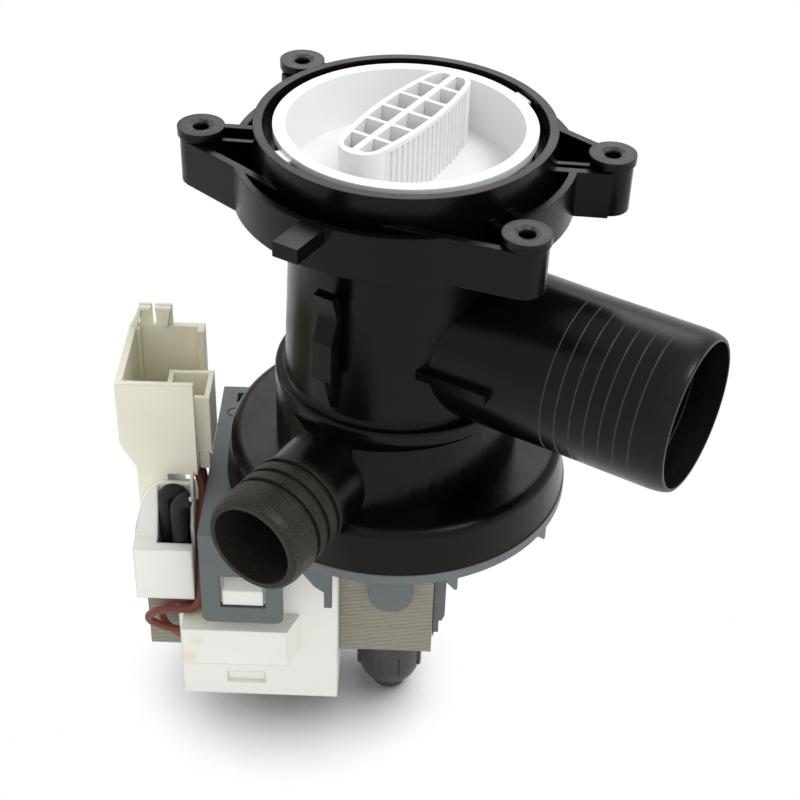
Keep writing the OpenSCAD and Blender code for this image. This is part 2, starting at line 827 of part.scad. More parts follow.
// Impeller, with a dog that takes it along after some free turn
hub_r = 9;
hub_bore_r = 7;
hub_drop = 4;
blade_t = 2;
impeller_drop = 3;
impeller_top = chamber_z - impeller_drop;
dog_lift = 1;
dog_h = 5;
dog_gap = 0.6;
dog_z = plate_top + dog_lift;
dog_r = 3.2;
lug_r = 4;
lug_span = 40;
dog_start = 50;
dog_span = 40;
dog_clear = 0.4;

module impeller() color(black) {
    cup_top = dog_z + dog_h + dog_gap;
    difference() {
        union() {
            rod(hub_r, dog_z, impeller_top - hub_drop);
            for (i = [0:blade_count - 1]) rotate([0, 0, i * turn / blade_count])
                slab(hub_r - blade_t / 2, impeller_d / 2, -blade_t / 2, blade_t / 2,
                    impeller_top - blade_h, impeller_top);
        }
        rod(hub_bore_r, dog_z - cut, cup_top);
        rod(shaft_r + slip, cup_top - cut, impeller_top);
    }
    sector(hub_bore_r + weld, lug_r, 0, lug_span, dog_z, cup_top + weld);
}

module drive_dog() color(white) {
    tube(dog_r, shaft_r, dog_z, dog_z + dog_h);
    sector(hub_bore_r - dog_clear, dog_r - weld, dog_start, dog_start + dog_span, dog_z, dog_z + dog_h);
}

// Tail cap
tail_gap = 0.5;
tail_top = throat_z - tail_gap;
tail_band = 8.6;
tail_step = 0.6;
tail_wall = 13.6;
nub_r = 4.75;
nub_h = 4;
nub_ring = 0.3;
nub_edge = 0.8;
tail_steps = 8;
tail_ribs = 8;
tail_rib_w = 1.3;
tail_rib_h = 16.1;
tail_rib_in = 0.1;

module tail_cap() color(dark_grey) motor() difference() {
    r = tail_d / 2;
    wall_z = tail_top - tail_wall;
    nub_z = tail_z + nub_h;
    in_r = nub_r + nub_ring;
    bowl = [for (i = [0:tail_steps]) let (a = quarter * i / tail_steps)
        [in_r + (r - tail_step - in_r) * cos(a), wall_z - (wall_z - nub_z) * sin(a)]];
    union() {
        rotate_extrude() polygon(concat([[0, tail_top], [r, tail_top], [r, tail_top - tail_band],
            [r - tail_step, tail_top - tail_band]], bowl, [[nub_r, nub_z], [nub_r, tail_z + nub_edge],
            [nub_r - nub_edge, tail_z], [0, tail_z]]));
        for (i = [0:tail_ribs - 1]) rotate([0, 0, (i + 0.5) * turn / tail_ribs])
            slab(end_r + cut, r - tail_rib_in, -tail_rib_w / 2, tail_rib_w / 2, tail_top - tail_rib_h,
                tail_top - tail_band + weld);
    }
    rod(end_r + slip, end_z - end_floor, tail_top + cut);
}

// Stator core, bobbins and windings
pole_gap = 0.5;
leg_gap = 0.2;
spool_t = 1.2;
spool_edge = 1.4;
spool_over = 0.6;
coil_mid = 1.4;
step_in = 7.3;
cover_far = yoke_reach - yoke_w - 0.5;
step_u = cover_far - step_in;
coil_far = step_u - cover_wall - fit_gap;
coil_near = cover_near + cover_wall + fit_gap;

module stator_core() color(iron) motor() difference() {
    slab(-yoke_reach, pole_reach, -leg_out, leg_out, core_z, core_top);
    slab(-yoke_reach + yoke_w, pole_reach + cut, -leg_in, leg_in, core_z - cut, core_top + cut);
    rod(can_r + pole_gap, core_z - cut, core_top + cut);
}

module round_leg(u0, u1, g) slab(u0, u1, -leg_out - g, -leg_in + g, core_z - g, core_top + g);

module bobbin() difference() {
    union() {
        round_leg(-coil_far, -coil_near, leg_gap + spool_t);
        for (u = [-coil_far, -coil_near - spool_edge])
            slab(u, u + spool_edge, -leg_out - coil_t - spool_over, -coil_mid + spool_over,
                 core_z - coil_h - spool_over, core_top + coil_h + spool_over);
    }
    round_leg(-coil_far - cut, -coil_near + cut, leg_gap);
}

module winding() difference() {
    slab(-coil_far + spool_edge, -coil_near - spool_edge, -leg_out - coil_t, -coil_mid, core_z - coil_h,
        core_top + coil_h);
    round_leg(-coil_far, -coil_near, leg_gap + spool_t);
}

module front_bobbin() color(white) motor() bobbin();
module rear_bobbin() color(white) motor() mirror([0, 1, 0]) bobbin();
module front_winding() color(copper) motor() winding();
module rear_winding() color(copper) motor() mirror([0, 1, 0]) winding();

// Bobbin cover and the protector under the front winding
protector_l = 12;
protector_w = 7;
protector_t = 3.1;
cover_z = core_z - coil_h - protector_t - cover_wall;
cover_gap = 7;
cover_top = ring_z - cover_gap;
lead_room = 4.3;
holder_drop = 5.5;
holder_z = core_top - holder_drop;
step_z = holder_z - lead_room;
leg_room = 0.4;
block_front = cover_half + block_out;
block_drop = 3.2;
block_top = clip_z - block_drop;
block_h = 13;
block_in = 1.5;
block_far = cover_far - block_in;
block_near = 24.5;
block_slope = 3;
latch_short = 0.4;
latch_room = 0.6;
latch_h = 9.5;
latch_face = 5;
latch_root = 1.2;
slot_far = 45;
slot_l = 10.5;
slot_up = 4.8;
slot_h = 4.2;
slot_depth = 1;

module thermal_protector() color(dark_grey) motor()
    slab(-coil_far + spool_edge + protector_l, -coil_far + spool_edge + 2 * protector_l,
        -leg_out - protector_w / 2,
         -leg_out + protector_w / 2, cover_z + cover_wall, core_z - coil_h);

function cover_side(t, top) = [[-cover_far + t, cover_z + t], [-cover_near - t, cover_z + t],
    [-cover_near - t, top],
    [-step_u + t, top], [-step_u + t, step_z - t], [-cover_far + t, step_z - t]];

module latch(front) profile_x([[-cover_half + weld, window_z + latch_room], [-front, window_z + latch_room],
    [-front, window_z + latch_room + latch_face], [-cover_half - latch_root, window_z + latch_h],
    [-cover_half + weld, window_z + latch_h]], -window_far + latch_room,
        -window_far + window_w - latch_room);

module bobbin_cover() color(white) motor() {
    difference() {
        union() {
            profile_y(cover_side(0, cover_top), -cover_half, cover_half);
            translate([0, 0, block_top - block_h]) linear_extrude(height = block_h)
                polygon([[-block_far, -cover_half + weld], [-block_far, -block_front],
                    [-block_near - block_slope, -block_front],
                         [-block_near, -cover_half + weld]]);
        }
        profile_y(cover_side(cover_wall, cover_top + cut), -cover_half + cover_wall,
            cover_half - cover_wall);
        for (s = [0, 1]) mirror([0, s, 0])
            slab(-cover_far - cut, -cover_near + cut, -leg_out - leg_room, -leg_in + leg_room,
                core_z - leg_room, cover_top + cut);
        slab(-slot_far, -slot_far + slot_l, -cover_half - cut, -cover_half + slot_depth, cover_z + slot_up,
             cover_z + slot_up + slot_h);
    }
    latch(clip_front - latch_short);
    mirror([0, 1, 0]) latch(shelf_back - latch_short);
}

// Connector socket with its stem on the yoke
socket_gap = 2;
sock_near = shelf_reach + socket_gap;
sock_far = sock_near + socket_w;
sock_front = -13.5;
sock_back = sock_front + socket_l;
stem_over = 0.7;
stem_w = 8;
stem_far = yoke_reach + stem_over;
stem_near = stem_far - stem_w;
stem_back = 14;
stem_h = 28;
sock_low = core_top + stem_h;
socket_z = sock_low + socket_h;
sock_floor = 2;
side_low = 2;
side_high = 9.5;
side_cut = 15;
corner = 4;
post = [1.1, 1.6, 19];
slit_cut = 26.5;
cell_far = 8.5;
cell_t = 1.4;
cell_from = -6.5;
bay_out = 3.4;
bay_front = -9;
bay_back = 3.4;
bay_drop = 7;
bay_up = 4.1;
bay_top = socket_z - bay_drop;
bay_low = sock_low + bay_up;
prong_ends = [[2.6, 6.05], [6.95, 11.4]];
prong_feet = [0.2, 10];
prong_t = 0.9;
prong_deep = 2.6;
prong_rise = 6.1;
stop_ends = [0.1, 2.7];
stop_deep = 4;
stop_h = 5.4;
tab_at = [6.2, 13.5];
tab_from = 4;
blade_thick = 0.8;
blade_wide = 6.3;
blade_long = 8;

module connector_housing() color(ivory) motor() {
    t = socket_wall;
    difference() {
        union() {
            profile_y([[-sock_far, socket_z], [-sock_near, socket_z], [-sock_near, sock_low], [-stem_far,
                sock_low],
                       [-stem_far, sock_low + side_low], [-sock_far, sock_low + side_high]], sock_front,
                           sock_back);
            slab(-stem_far, -stem_near, sock_front, stem_back, core_top, sock_low + weld);
            slab(-sock_near - t, -sock_near + bay_out, bay_front, bay_back, bay_low, bay_top);
        }
        profile_y([[-sock_far + t, socket_z + cut], [-sock_near - t, socket_z + cut], [-sock_near - t,
            sock_low + sock_floor],
                   [-stem_far + t, sock_low + sock_floor], [-sock_far + t, sock_low + side_high + weld]],
                  sock_front + t, sock_back - t);
        slab(-sock_near - t - weld, -sock_near + cut, bay_back, sock_back - corner, socket_z - side_cut,
            socket_z + cut);
        slab(-sock_near - t - weld, -sock_near + cut, bay_front, bay_back + weld, bay_top, socket_z + cut);
        slab(-sock_near - t - weld, -sock_near + cut, sock_front + t, bay_front, socket_z - slit_cut,
            socket_z + cut);
        slab(-sock_near - t - weld, -sock_near + bay_out - cell_t, bay_front + cell_t, bay_back - cell_t,
            bay_low + cell_t, bay_top + cut);
    }
    cell_u = -sock_near - cell_far;
    cell_v = bay_back - weld;
    low = sock_low + sock_floor - weld;
    slab(cell_u, -sock_near - t + weld, cell_v - cell_t, cell_v, low, bay_top - weld);
    slab(cell_u + weld, cell_u + cell_t, cell_from, cell_v - weld, low - weld, bay_top - 2 * weld);
    slab(-sock_far + t - weld, -sock_far + t + post[0], sock_back - t - post[1], sock_back - t + weld,
        socket_z - post[2], socket_z - weld);
    prong(-sock_far + prong_ends[0][0], -sock_far + prong_ends[0][1], -sock_far + prong_feet[0], 1);
    prong(-sock_far + prong_ends[1][1], -sock_far + prong_ends[1][0], -sock_far + prong_feet[1], -1);
    slab(-sock_near + stop_ends[0], -sock_near + stop_ends[1], bay_front + weld, bay_front + stop_deep,
        bay_low - stop_h, bay_low + weld);
}

// Prong on the back wall: a plate, its top edge and a leaning gusset on the outer side
module prong(outer, inner, foot, side) {
    top = socket_z + prong_rise;
    edge = side * prong_t;
    front = sock_back - prong_deep;
    slab(min(outer, inner), max(outer, inner), sock_back - prong_t, sock_back, socket_z - weld, top);
    slab(min(outer, inner) + weld, max(outer, inner) - weld, front, sock_back - weld, top - prong_t,
        top - weld);
    profile_y([[foot, socket_z - 2 * weld], [foot + 2 * edge, socket_z - 2 * weld],
        [outer + edge, top - 2 * weld], [outer + side * 2 * weld, top - 2 * weld]],
        front + weld, sock_back - 2 * weld);
}

module connector_tabs() color(brass) motor() for (p = tab_at)
    slab(-sock_far + p, -sock_far + p + blade_thick, tab_from, tab_from + blade_wide, sock_low + sock_floor,
         sock_low + sock_floor + blade_long);

// Lead holder, hooked over the front corner of the yoke
holder_over = 1.2;
holder_far = yoke_reach + holder_over;
holder_near = holder_far - holder_w;
holder_out = 8;
holder_front = -leg_out - holder_out;
holder_face = 17.7;
holder_gap = 0.6;
holder_step = 1;
// Slope from the front block up to the back plate: back from the front, down from the socket
cheek = [[4.4, -15.4], [8.6, -8], [10.6, -2]];
shoulder = [7.9, 11.8];
shoulder_at = [8.4, 13.5];
slot_wide = 8.7;
slot_wall = 0.9;
slot_front = 2.6;
slot_back = 10.8;
slot_floor = 6;
fin_top = 1;
fin_low = 14.2;
fin_front = 6;

module lead_holder() color(white) motor() difference() {
    right = -holder_near - slot_wall;
    back = holder_front + slot_back;
    top = sock_low + fin_top;
    corner_u = -holder_far + shoulder_at[0];
    corner_z = sock_low - shoulder_at[1];
    round = [for (i = [0:nose_steps]) let (a = quarter * i / nose_steps)
        [corner_u - shoulder[0] * cos(a), corner_z + shoulder[1] * sin(a)]];
    union() {
        profile_x(concat([[holder_front, holder_z], [holder_front, holder_z + holder_face]],
            [for (p = cheek) [holder_front + p[0], sock_low + p[1]]],
            [[sock_front, sock_low + cheek[2][1]], [sock_front, core_top + holder_step],
            [-leg_out - holder_gap, core_top + holder_step], [-leg_out - holder_gap, holder_z]]),
            -holder_far, -holder_near);
        profile_x([[sock_front - weld, top], [back - weld, top],
            [holder_front + fin_front, sock_low - fin_low], [holder_front + fin_front, holder_z + weld],
            [-leg_out - holder_gap - weld, holder_z + weld], [-leg_out - holder_gap - weld, core_top],
            [sock_front - weld, core_top + holder_step + weld]], right, -holder_near - weld);
    }
    slab(right - slot_wide, right, holder_front + slot_front, back, holder_z + slot_floor, top + cut);
    slab(right - weld, -holder_near + cut, holder_front + slot_front, holder_front + fin_front,
        holder_z + slot_floor, top + cut);
    profile_y(concat(round, [[corner_u, top + cut], [-holder_far - cut, top + cut],
        [-holder_far - cut, corner_z]]), holder_front - cut, sock_front + cut);
}

// Leads, swept along chosen points in the motor frame
hairpin = [-58.15, -17.25];
hairpin_half = 2.25;
hairpin_z = -99.4;
hairpin_drops = [8, 3, 1.2];
hairpin_steps = 8;
lead_sink = 0.4;
lead_low = holder_z + slot_floor - lead_sink;
leg_drops = concat([hairpin_z - lead_low], hairpin_drops);

function hairpin_at(s, d) = [hairpin[0] + s * hairpin_half, hairpin[1], hairpin_z - d];

black_path_a = concat([for (d = leg_drops) hairpin_at(-1, d)],
    [for (p = arc(hairpin[0], hairpin_z, hairpin_half, 180, 0, hairpin_steps)) [p[0], hairpin[1], p[1]]],
    [for (i = [len(leg_drops) - 1:-1:0]) hairpin_at(1, leg_drops[i])]);
black_path_b = [[-56.6, -21.3, lead_low], [-56.6, -21.3, -112], [-56.6, -21.3, -104], [-56.6, -21.3, -100.6],
    [-56.2, -21.3, -98.4], [-55, -21.2, -97], [-53.4, -21.1, -96.6]];
brown_path_a = [[-54.6, -8, -93.8], [-51.6, -11, -99.4], [-51.5, -17, -108], [-51.5, -22, -118],
    [-51.5, -24.4, -125], [-51.7, -25.6, -128], [-53, -26.4, -130.2], [-56.6, -26.8, -131],
    [-61.4, -26.2, -132], [-65.2, -25.4, -134.4], [-66, -24.8, -137], [-64, -24.4, -139.2],
    [-60.6, -24.4, -140.6], [-56.8, -24.4, -141.6]];
brown_path_b = [[-54.6, -4.4, -93.8], [-51.6, -6.6, -99.4], [-51.5, -13.4, -110], [-51.5, -18.6, -120],
    [-51.5, -21, -126], [-51.6, -21.8, -128.3], [-53, -22.8, -130.4], [-56.4, -23.2, -131],
    [-60, -22.6, -132.6], [-62.8, -21.6, -136.8], [-62.6, -21.4, -140.8], [-60.4, -21.6, -143.8],
    [-56.8, -22, -146]];

function unit(v) = v / norm(v);
function curve_at(p, i, t) = let (a = p[max(i - 1, 0)], b = p[i], c = p[i + 1], d = p[min(i + 2,
    len(p) - 1)])
    b + (c - a) * t / 2 + (a * 2 - b * 5 + c * 4 - d) * t * t / 2 + (b * 3 - a - c * 3 + d) * t * t * t / 2;
function smooth(p, n) = [for (i = [0:len(p) - 2], k = [0:n - 1]) curve_at(p, i, k / n), p[len(p) - 1]];
function tangent(p, i) = unit(p[min(i + 1, len(p) - 1)] - p[max(i - 1, 0)]);
function carry(n, t) = unit(n - t * (n * t));
function normals(p, n0, i = 0) = i >= len(p) ? [] : let (n = carry(n0, tangent(p, i))) concat([n],
    normals(p, n, i + 1));

module sweep(path, r, sides = 8, n = 2) {
    p = smooth(path, n);
    ns = normals(p, [1, 0.1, 0.05]);
    last = (len(p) - 1) * sides;
    points = [for (i = [0:len(p) - 1], k = [0:sides - 1]) let (t = tangent(p, i), b = cross(t, ns[i]),
        a = turn * k / sides)
        p[i] + r * (ns[i] * cos(a) + b * sin(a))];
    skins = [for (i = [0:len(p) - 2], k = [0:sides - 1]) let (j = (k + 1) % sides, o = i * sides)
        each [[o + k, o + sides + k, o + j], [o + j, o + sides + k, o + sides + j]]];
    ends = [[for (k = [0:sides - 1]) k], [for (k = [sides - 1:-1:0]) last + k]];
    polyhedron(points = points, faces = concat(skins, ends));
}

module black_leads() color(black) motor() {
    sweep(black_path_a, black_d / 2);
    sweep(black_path_b, black_d / 2);
}

module brown_leads() color(brown) motor() {
    sweep(brown_path_a, brown_d / 2);
    sweep(brown_path_b, brown_d / 2);
}

bolt_flange();
filter_barrel();
volute_drum();
volute_disc();
inlet_pipe();
outlet_pipe();
filter_cap();
cap_grip();
cap_gasket();
filter_basket();
motor_flange();
chamber_seal();
bearing_holder();
holder_seal();
front_bearing();
lip_seal();
rear_cushion();
rear_bearing();
rotor_shaft();
rotor_sleeve();
rotor_magnet();
thrust_washers();
impeller();
drive_dog();
tail_cap();
stator_core();
front_bobbin();
rear_bobbin();
front_winding();
rear_winding();
thermal_protector();
bobbin_cover();
connector_housing();
connector_tabs();
lead_holder();
black_leads();
brown_leads();
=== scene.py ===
"""Washer drain pump: looks, leads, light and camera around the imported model, in metres."""
import json
import math

import bpy
from mathutils import Matrix, Vector


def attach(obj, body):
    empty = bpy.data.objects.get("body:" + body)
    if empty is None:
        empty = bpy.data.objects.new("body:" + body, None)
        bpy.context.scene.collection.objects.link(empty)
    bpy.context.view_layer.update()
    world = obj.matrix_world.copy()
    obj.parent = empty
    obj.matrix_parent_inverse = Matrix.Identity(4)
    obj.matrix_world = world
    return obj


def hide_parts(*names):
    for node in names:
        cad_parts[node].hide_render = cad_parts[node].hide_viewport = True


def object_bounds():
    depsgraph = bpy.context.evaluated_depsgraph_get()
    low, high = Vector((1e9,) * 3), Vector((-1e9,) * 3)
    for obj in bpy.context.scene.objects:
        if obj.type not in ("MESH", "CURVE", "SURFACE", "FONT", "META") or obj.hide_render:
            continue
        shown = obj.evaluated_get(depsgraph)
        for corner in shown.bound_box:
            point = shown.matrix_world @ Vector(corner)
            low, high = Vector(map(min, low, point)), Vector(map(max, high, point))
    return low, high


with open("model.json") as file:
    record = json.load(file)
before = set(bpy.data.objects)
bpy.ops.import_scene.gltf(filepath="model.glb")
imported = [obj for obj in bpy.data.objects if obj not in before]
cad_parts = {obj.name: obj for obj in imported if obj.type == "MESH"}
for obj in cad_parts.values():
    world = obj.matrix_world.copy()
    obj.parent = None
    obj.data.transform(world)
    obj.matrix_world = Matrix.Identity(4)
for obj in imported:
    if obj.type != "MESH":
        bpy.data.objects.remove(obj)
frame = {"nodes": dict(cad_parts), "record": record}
cad_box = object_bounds()
scene = bpy.context.scene
scene.view_settings.view_transform = "Standard"
MM = 0.001
WHITE = (1, 1, 1)
MOTOR_TURN = math.radians(30)


def motor_point(u, v, z):
    """A point of the turned motor frame in millimetres, as a point of the model in metres."""
    c, s = math.cos(MOTOR_TURN), math.sin(MOTOR_TURN)
    return Vector((u * c - v * s, u * s + v * c, z)) * MM


# Camera
CAMERA_PLACE = Vector((176.62, -301.05, 186.94)) * MM
CAMERA_AZIMUTH = math.radians(30.283)
CAMERA_ELEVATION = math.radians(37.148)
CAMERA_ROLL = math.radians(1.884)
CAMERA_LENS = 74.45
CAMERA_SENSOR = 36
CAMERA_CLIP = (0.01, 50)


def make_camera():
    """The camera at the photograph's viewing angle."""
    ca, sa = math.cos(CAMERA_AZIMUTH), math.sin(CAMERA_AZIMUTH)
    ce, se = math.cos(CAMERA_ELEVATION), math.sin(CAMERA_ELEVATION)
    back = Vector((sa * ce, -ca * ce, se))
    level = Vector((ca, sa, 0))
    upright = back.cross(level)
    right = level * math.cos(CAMERA_ROLL) + upright * math.sin(CAMERA_ROLL)
    up = back.cross(right)
    data = bpy.data.cameras.new("camera")
    data.lens = CAMERA_LENS
    data.sensor_width = CAMERA_SENSOR
    data.clip_start, data.clip_end = CAMERA_CLIP
    camera = bpy.data.objects.new("camera", data)
    turn = Matrix((right, up, back)).transposed().to_4x4()
    camera.matrix_world = Matrix.Translation(CAMERA_PLACE) @ turn
    scene.collection.objects.link(camera)
    scene.camera = camera


# Building blocks of the materials
NOISE_RANGE = (0.3, 0.7)
NARROW_RANGE = (0.35, 0.65)
EDGE_SAMPLES = 6


def shader(name):
    """A new material with its node tree, its shader and its object coordinates."""
    material = bpy.data.materials.new(name)
    material.use_nodes = True
    tree = material.node_tree
    place = tree.nodes.new("ShaderNodeTexCoord")
    return material, tree, tree.nodes["Principled BSDF"], place.outputs["Object"]


def noise(tree, vector, scale, detail=3.0, roughness=0.5):
    """Cloudy noise between 0 and 1."""
    node = tree.nodes.new("ShaderNodeTexNoise")
    node.inputs["Scale"].default_value = scale
    node.inputs["Detail"].default_value = detail
    node.inputs["Roughness"].default_value = roughness
    tree.links.new(vector, node.inputs["Vector"])
    return node.outputs["Fac"]


def span(tree, value, low, high, to_low, to_high):
    """Maps a value from one range to another, held at both ends."""
    node = tree.nodes.new("ShaderNodeMapRange")
    for key, number in (("From Min", low), ("From Max", high), ("To Min", to_low), ("To Max", to_high)):
        node.inputs[key].default_value = number
    tree.links.new(value, node.inputs["Value"])
    return node.outputs["Result"]


def uneven(tree, place, scale, low=0, high=1, detail=3.0):
    """Noise over a place, stretched from its usual range to another range."""
    return span(tree, noise(tree, place, scale, detail), *NOISE_RANGE, low, high)


def maths(tree, operation, *values):
    """A number worked out from sockets and numbers."""
    node = tree.nodes.new("ShaderNodeMath")
    node.operation = operation
    for socket, value in zip(node.inputs, values):
        if isinstance(value, (int, float)):
            socket.default_value = value
        else:
            tree.links.new(value, socket)
    return node.outputs["Value"]


def vector_maths(tree, operation, vector, other=(0, 0, 0)):
    """A number worked out from a vector and a fixed vector."""
    node = tree.nodes.new("ShaderNodeVectorMath")
    node.operation = operation
    node.inputs[1].default_value = other
    tree.links.new(vector, node.inputs[0])
    return node.outputs["Value"]


def blend(tree, share, first, second):
    """Mixes two colours, each given as numbers or as a socket."""
    node = tree.nodes.new("ShaderNodeMix")
    node.data_type = "RGBA"
    tree.links.new(share, node.inputs["Factor"])
    for socket, value in ((node.inputs["A"], first), (node.inputs["B"], second)):
        if isinstance(value, bpy.types.NodeSocket):
            tree.links.new(value, socket)
        else:
            socket.default_value = (*value, 1)
    return node.outputs["Result"]


def bump(tree, height, strength, distance, normal=None):
    """Normals raised by a height, over other normals if some are given."""
    node = tree.nodes.new("ShaderNodeBump")
    node.inputs["Strength"].default_value = strength
    node.inputs["Distance"].default_value = distance
    tree.links.new(height, node.inputs["Height"])
    if normal:
        tree.links.new(normal, node.inputs["Normal"])
    return node.outputs["Normal"]


def rounded(tree, radius):
    """Normals that round every edge over a radius in millimetres."""
    node = tree.nodes.new("ShaderNodeBevel")
    node.samples = EDGE_SAMPLES
    node.inputs["Radius"].default_value = radius * MM
    return node.outputs["Normal"]


def axes(tree, place):
    """The three coordinates of a place."""
    node = tree.nodes.new("ShaderNodeSeparateXYZ")
    tree.links.new(place, node.inputs["Vector"])
    return node.outputs


def shade(colour, factor):
    """A colour made lighter or darker."""
    return tuple(min(1.0, c * factor) for c in colour)


# Moulded plastic
PATCH_SCALE = 45
GLOSS_SCALE = 130
GLOSS_LESS = 0.05
GLOSS_MORE = 0.06
GRAIN_SCALE = 1800
GRAIN_DETAIL = 2
GRAIN_HEIGHT = 0.1 * MM


def moulded(name, colour, roughness, grain, patchy, specular, edge, tint=WHITE, wear_and_sheen=None, sharp=None):
    """Moulded plastic with slow tone changes, uneven gloss, a fine grain and rounded edges."""
    material, tree, bsdf, place = shader(name)
    tone = uneven(tree, place, PATCH_SCALE)
    base = blend(tree, tone, shade(colour, 1 - patchy), shade(colour, 1 + patchy))
    gloss = uneven(tree, place, GLOSS_SCALE, roughness - GLOSS_LESS, roughness + GLOSS_MORE)
    if wear_and_sheen:
        base, gloss = wear_and_sheen(tree, place, base, gloss)
    tree.links.new(base, bsdf.inputs["Base Color"])
    tree.links.new(gloss, bsdf.inputs["Roughness"])
    bsdf.inputs["Specular IOR Level"].default_value = specular
    bsdf.inputs["Specular Tint"].default_value = (*tint, 1)
    soft = rounded(tree, edge)
    if sharp:
        soft = sharp(tree, place, soft)
    grains = noise(tree, place, GRAIN_SCALE, GRAIN_DETAIL)
    tree.links.new(bump(tree, grains, grain, GRAIN_HEIGHT, soft), bsdf.inputs["Normal"])
    return material


# Wear and grain of the black housing, with painted sheen on the pipes and painted highlights on the
# inlet's rings
BOLT_X = 44 * MM
BOLT_Y = 21.5 * MM
SCUFF_COLOUR = (0.12, 0.114, 0.104)
SCUFF_REACH = (3 * MM, 6 * MM)
SCUFF_SHARE = 0.75
SCUFF_TOP = (-1.2 * MM, -0.2 * MM)
SCUFF_SCALE = 700
SCUFF_DETAIL = 5
SCUFF_LEAST = 0.2
SCUFF_ROUGH = 0.25
# The satin colours are far lighter than the black: real grain, partly a painted sheen on the pipes
SATIN_DARK_AND_SHEEN = (0.009, 0.008, 0.0064)
SATIN_LIGHT_AND_SHEEN = (0.044, 0.04, 0.033)
SATIN_ROUGH = 0.2
SATIN_TOP = (-61 * MM, -60 * MM)
INLET_SATIN = (40 * MM, 76 * MM)
INLET_SHARE = 0.12
NOSE_SATIN = (75 * MM, 77.5 * MM)
NOSE_SHARE = 0.22
OUTLET_SATIN = (-43 * MM, -47 * MM)
SPECK_SCALE = 2200
SPECK_DETAIL = 4
SPECK_ROUGH = 0.7
# Pale colour of the scored rings: a painted highlight on their edges
SCORE_HIGHLIGHT_COLOUR = (0.06, 0.056, 0.05)
SCORE_FIRST = 50.4 * MM
SCORE_LAST = 73.2 * MM
SCORE_PITCH = 3.8 * MM
SCORE_LINE = (0.02, 0.06)
SCORE_NEAR = 0.4 * MM
SCORE_FAR = 0.5 * MM


def scuffs(tree, place, x, y, z):
    """Share of the scuffed rings round the bolt holes, on the tops of the bosses."""
    off_x = maths(tree, "SUBTRACT", maths(tree, "ABSOLUTE", x), BOLT_X)
    off_y = maths(tree, "SUBTRACT", maths(tree, "ABSOLUTE", y), BOLT_Y)
    square_x = maths(tree, "MULTIPLY", off_x, off_x)
    square_y = maths(tree, "MULTIPLY", off_y, off_y)
    far = maths(tree, "SQRT", maths(tree, "ADD", square_x, square_y))
    ring = span(tree, far, *SCUFF_REACH, SCUFF_SHARE, 0)
    top = span(tree, z, *SCUFF_TOP, 0, 1)
    rub = span(tree, noise(tree, place, SCUFF_SCALE, SCUFF_DETAIL), *NARROW_RANGE, SCUFF_LEAST, 1)
    return maths(tree, "MULTIPLY", maths(tree, "MULTIPLY", ring, top), rub)


def satin_grain_and_sheen(tree, x, y, z):
    """Share of the satin grain and its painted sheen, a lighter speckled colour that grows towards the
    inlet's nose and covers the outlet.
    """
    inlet = span(tree, x, *INLET_SATIN, 0, INLET_SHARE)
    nose = span(tree, x, *NOSE_SATIN, 0, NOSE_SHARE)
    below = span(tree, z, *SATIN_TOP, 1, 0)
    outlet = maths(tree, "MULTIPLY", span(tree, y, *OUTLET_SATIN, 0, 1), below)
    return maths(tree, "MAXIMUM", maths(tree, "MAXIMUM", inlet, nose), outlet)


def scored_ring_highlights(tree, x):
    """Share of the pale lines along the inlet pipe's scored rings, a painted highlight on their edges."""
    step = maths(tree, "DIVIDE", maths(tree, "SUBTRACT", x, SCORE_FIRST), SCORE_PITCH)
    off = maths(tree, "ABSOLUTE", maths(tree, "SUBTRACT", step, maths(tree, "ROUND", step)))
    line = span(tree, off, *SCORE_LINE, 1, 0)
    start = span(tree, x, SCORE_FIRST - SCORE_FAR, SCORE_FIRST - SCORE_NEAR, 0, 1)
    stop = span(tree, x, SCORE_LAST + SCORE_NEAR, SCORE_LAST + SCORE_FAR, 1, 0)
    return maths(tree, "MULTIPLY", line, maths(tree, "MULTIPLY", start, stop))


def housing_wear_and_painted_sheen(tree, place, base, gloss):
    """Scuffed rings round the bolt holes, satin grain with painted sheen on the two pipes and painted
    highlights on the inlet's scored rings.
    """
    x, y, z = axes(tree, place)
    scuff = scuffs(tree, place, x, y, z)
    # grain holds the satin grain together with its painted sheen
    grain = satin_grain_and_sheen(tree, x, y, z)
    specks = noise(tree, place, SPECK_SCALE, SPECK_DETAIL, SPECK_ROUGH)
    specks = span(tree, specks, *NARROW_RANGE, 0, 1)
    base = blend(tree, scuff, base, SCUFF_COLOUR)
    # Lighter speckled colour on the pipes: grain, partly painted sheen
    base = blend(tree, grain, base, blend(tree, specks, SATIN_DARK_AND_SHEEN, SATIN_LIGHT_AND_SHEEN))
    # Pale lines on the inlet's rings: painted highlight
    base = blend(tree, scored_ring_highlights(tree, x), base, SCORE_HIGHLIGHT_COLOUR)
    scuff_rough = maths(tree, "MULTIPLY", scuff, SCUFF_ROUGH)
    grain_rough = maths(tree, "MULTIPLY", grain, SATIN_ROUGH)
    return base, maths(tree, "ADD", gloss, maths(tree, "ADD", scuff_rough, grain_rough))


# Inner corners of the black housing, whose pieces are one moulding
PIPES_CLEAR = (46.2 * MM, 47 * MM)
HOOK_OUT = (-30.6 * MM, -30.2 * MM)
HOOK_FOOT = (-62 * MM, -61.6 * MM)


